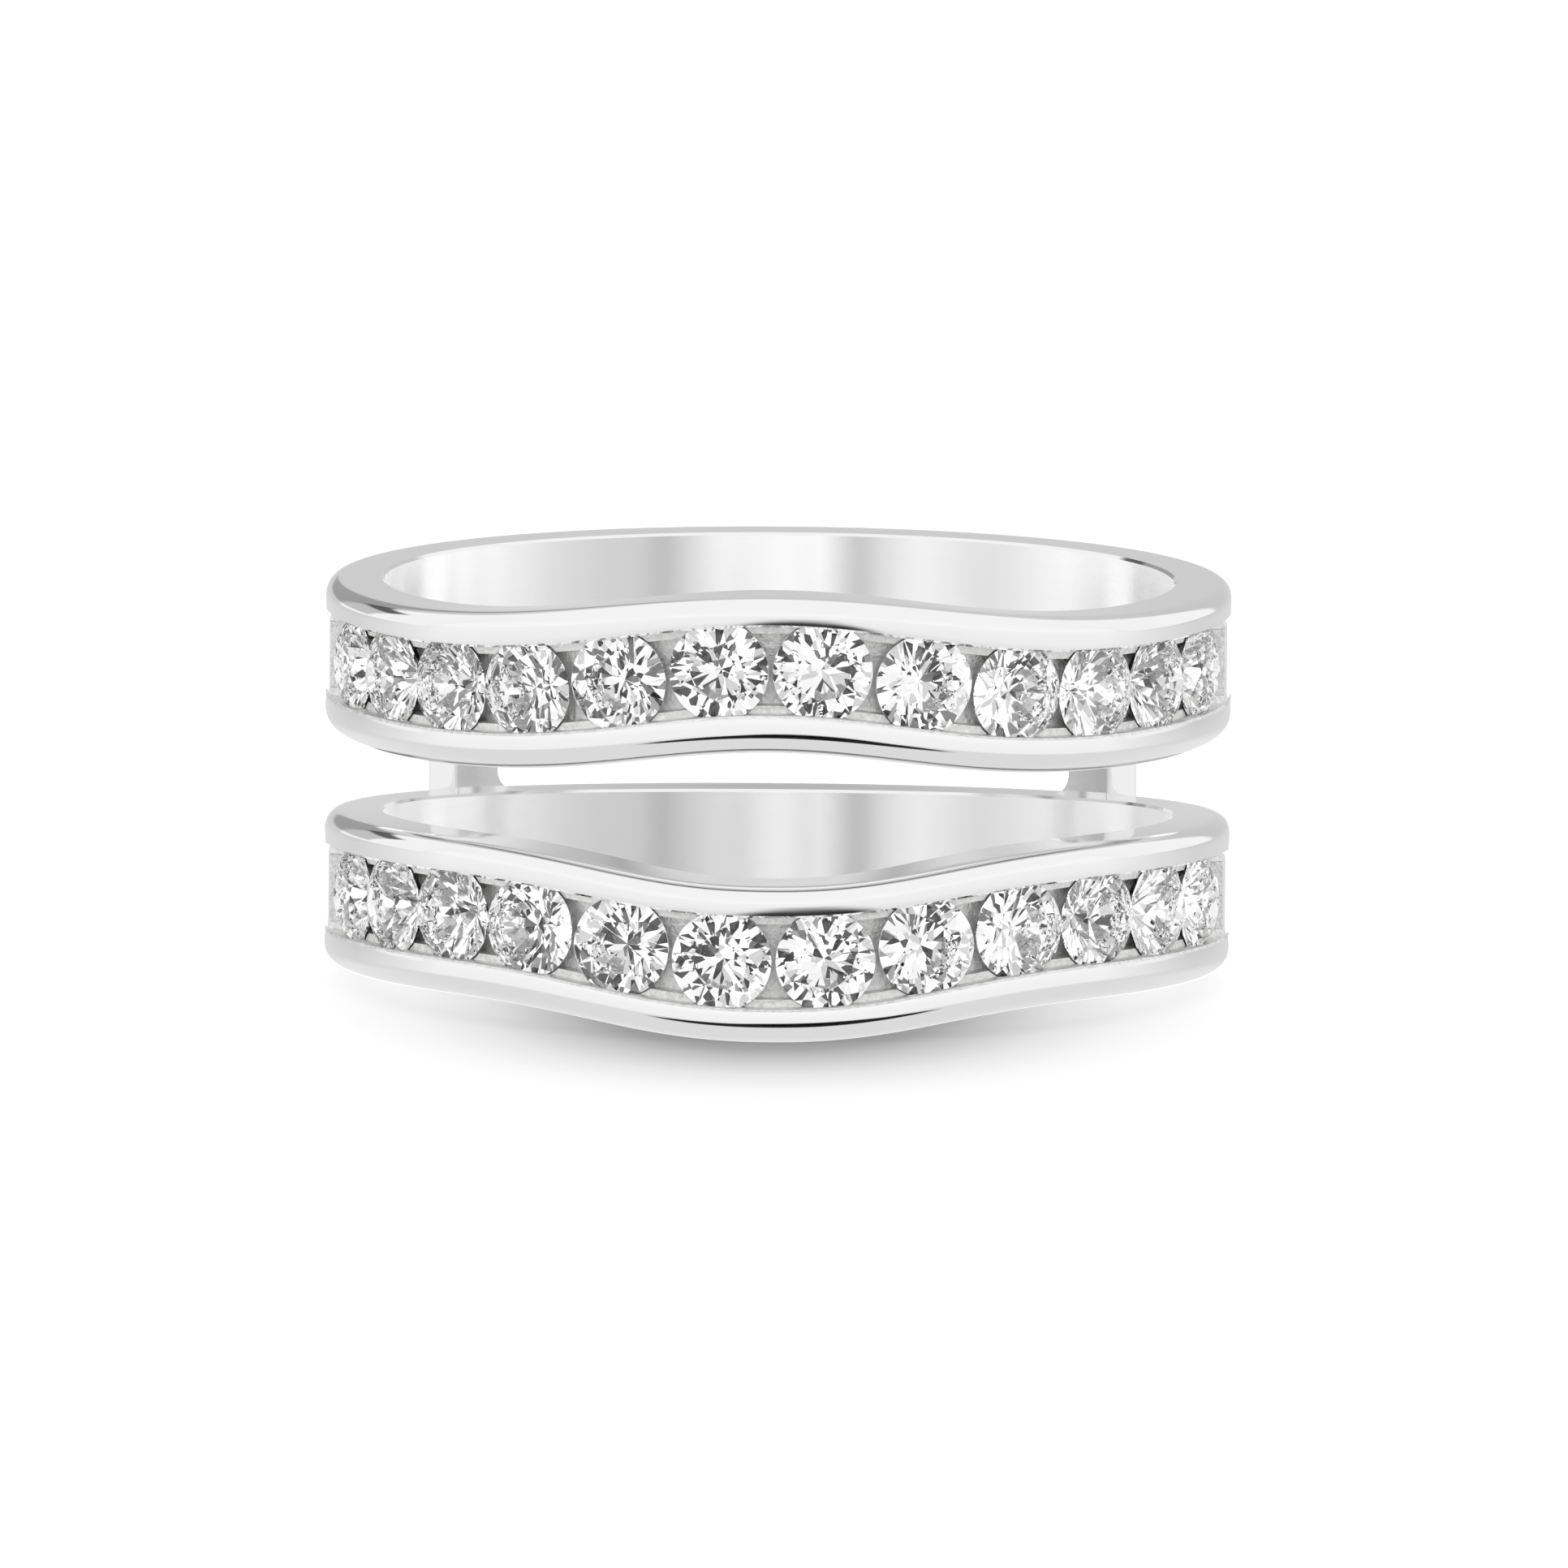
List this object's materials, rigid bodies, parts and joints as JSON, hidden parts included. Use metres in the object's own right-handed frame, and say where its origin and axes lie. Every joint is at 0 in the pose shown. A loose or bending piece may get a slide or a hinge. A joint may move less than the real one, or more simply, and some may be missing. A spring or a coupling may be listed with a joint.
{
  "type": "ring guard enhancer",
  "caption": "Contoured twin-band ring guard with round stones channel set in each band; a plain solitaire ring slides into the slot between the bands.",
  "frame": {"origin": "on the resting plane, on the finger axis", "axes": "+Z along the finger axis, upright as the ring lies on its side; -Y towards the middle of the stone rows; +X across, to the right of someone who faces the stones"},
  "size_m": [0.0198, 0.0205, 0.0097],
  "materials": {
    "white_gold": "polished white metal outside, brushed inside the finger hole",
    "clear_stone": "clear faceted round brilliant"
  },
  "bodies": {
    "root": {"guard_frame": "white_gold", "upper_stone_01": "clear_stone", "upper_stone_02": "clear_stone", "upper_stone_03": "clear_stone", "upper_stone_04": "clear_stone", "upper_stone_05": "clear_stone", "upper_stone_06": "clear_stone", "upper_stone_07": "clear_stone", "upper_stone_08": "clear_stone", "upper_stone_09": "clear_stone", "upper_stone_10": "clear_stone", "upper_stone_11": "clear_stone", "upper_stone_12": "clear_stone", "lower_stone_01": "clear_stone", "lower_stone_02": "clear_stone", "lower_stone_03": "clear_stone", "lower_stone_04": "clear_stone", "lower_stone_05": "clear_stone", "lower_stone_06": "clear_stone", "lower_stone_07": "clear_stone", "lower_stone_08": "clear_stone", "lower_stone_09": "clear_stone", "lower_stone_10": "clear_stone", "lower_stone_11": "clear_stone", "lower_stone_12": "clear_stone"}
  },
  "joints": []
}
